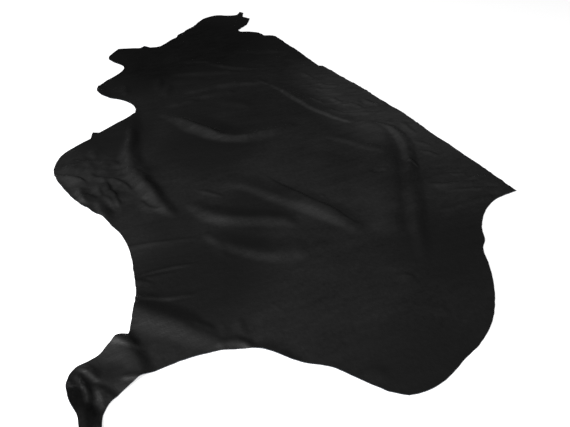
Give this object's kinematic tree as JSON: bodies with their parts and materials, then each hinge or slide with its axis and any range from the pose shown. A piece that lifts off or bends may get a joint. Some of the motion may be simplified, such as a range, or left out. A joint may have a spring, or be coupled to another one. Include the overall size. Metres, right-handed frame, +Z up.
{
  "type": "leather hide side",
  "caption": "Left side of a tanned cattle hide, soft black leather in one piece, lying grain up with low folds, with a straight backbone cut and a natural belly edge.",
  "frame": {"origin": "under the middle of the side's bounding box, at the height of the surface it lies on", "axes": "+X along the backbone cut towards the neck, +Y out towards the belly and legs, +Z up out of the grain face"},
  "size_m": [2.5372, 1.2932, 0.0218],
  "materials": {
    "leather": "satin grain, soft black"
  },
  "bodies": {
    "root": {"hide": "leather"}
  },
  "joints": []
}
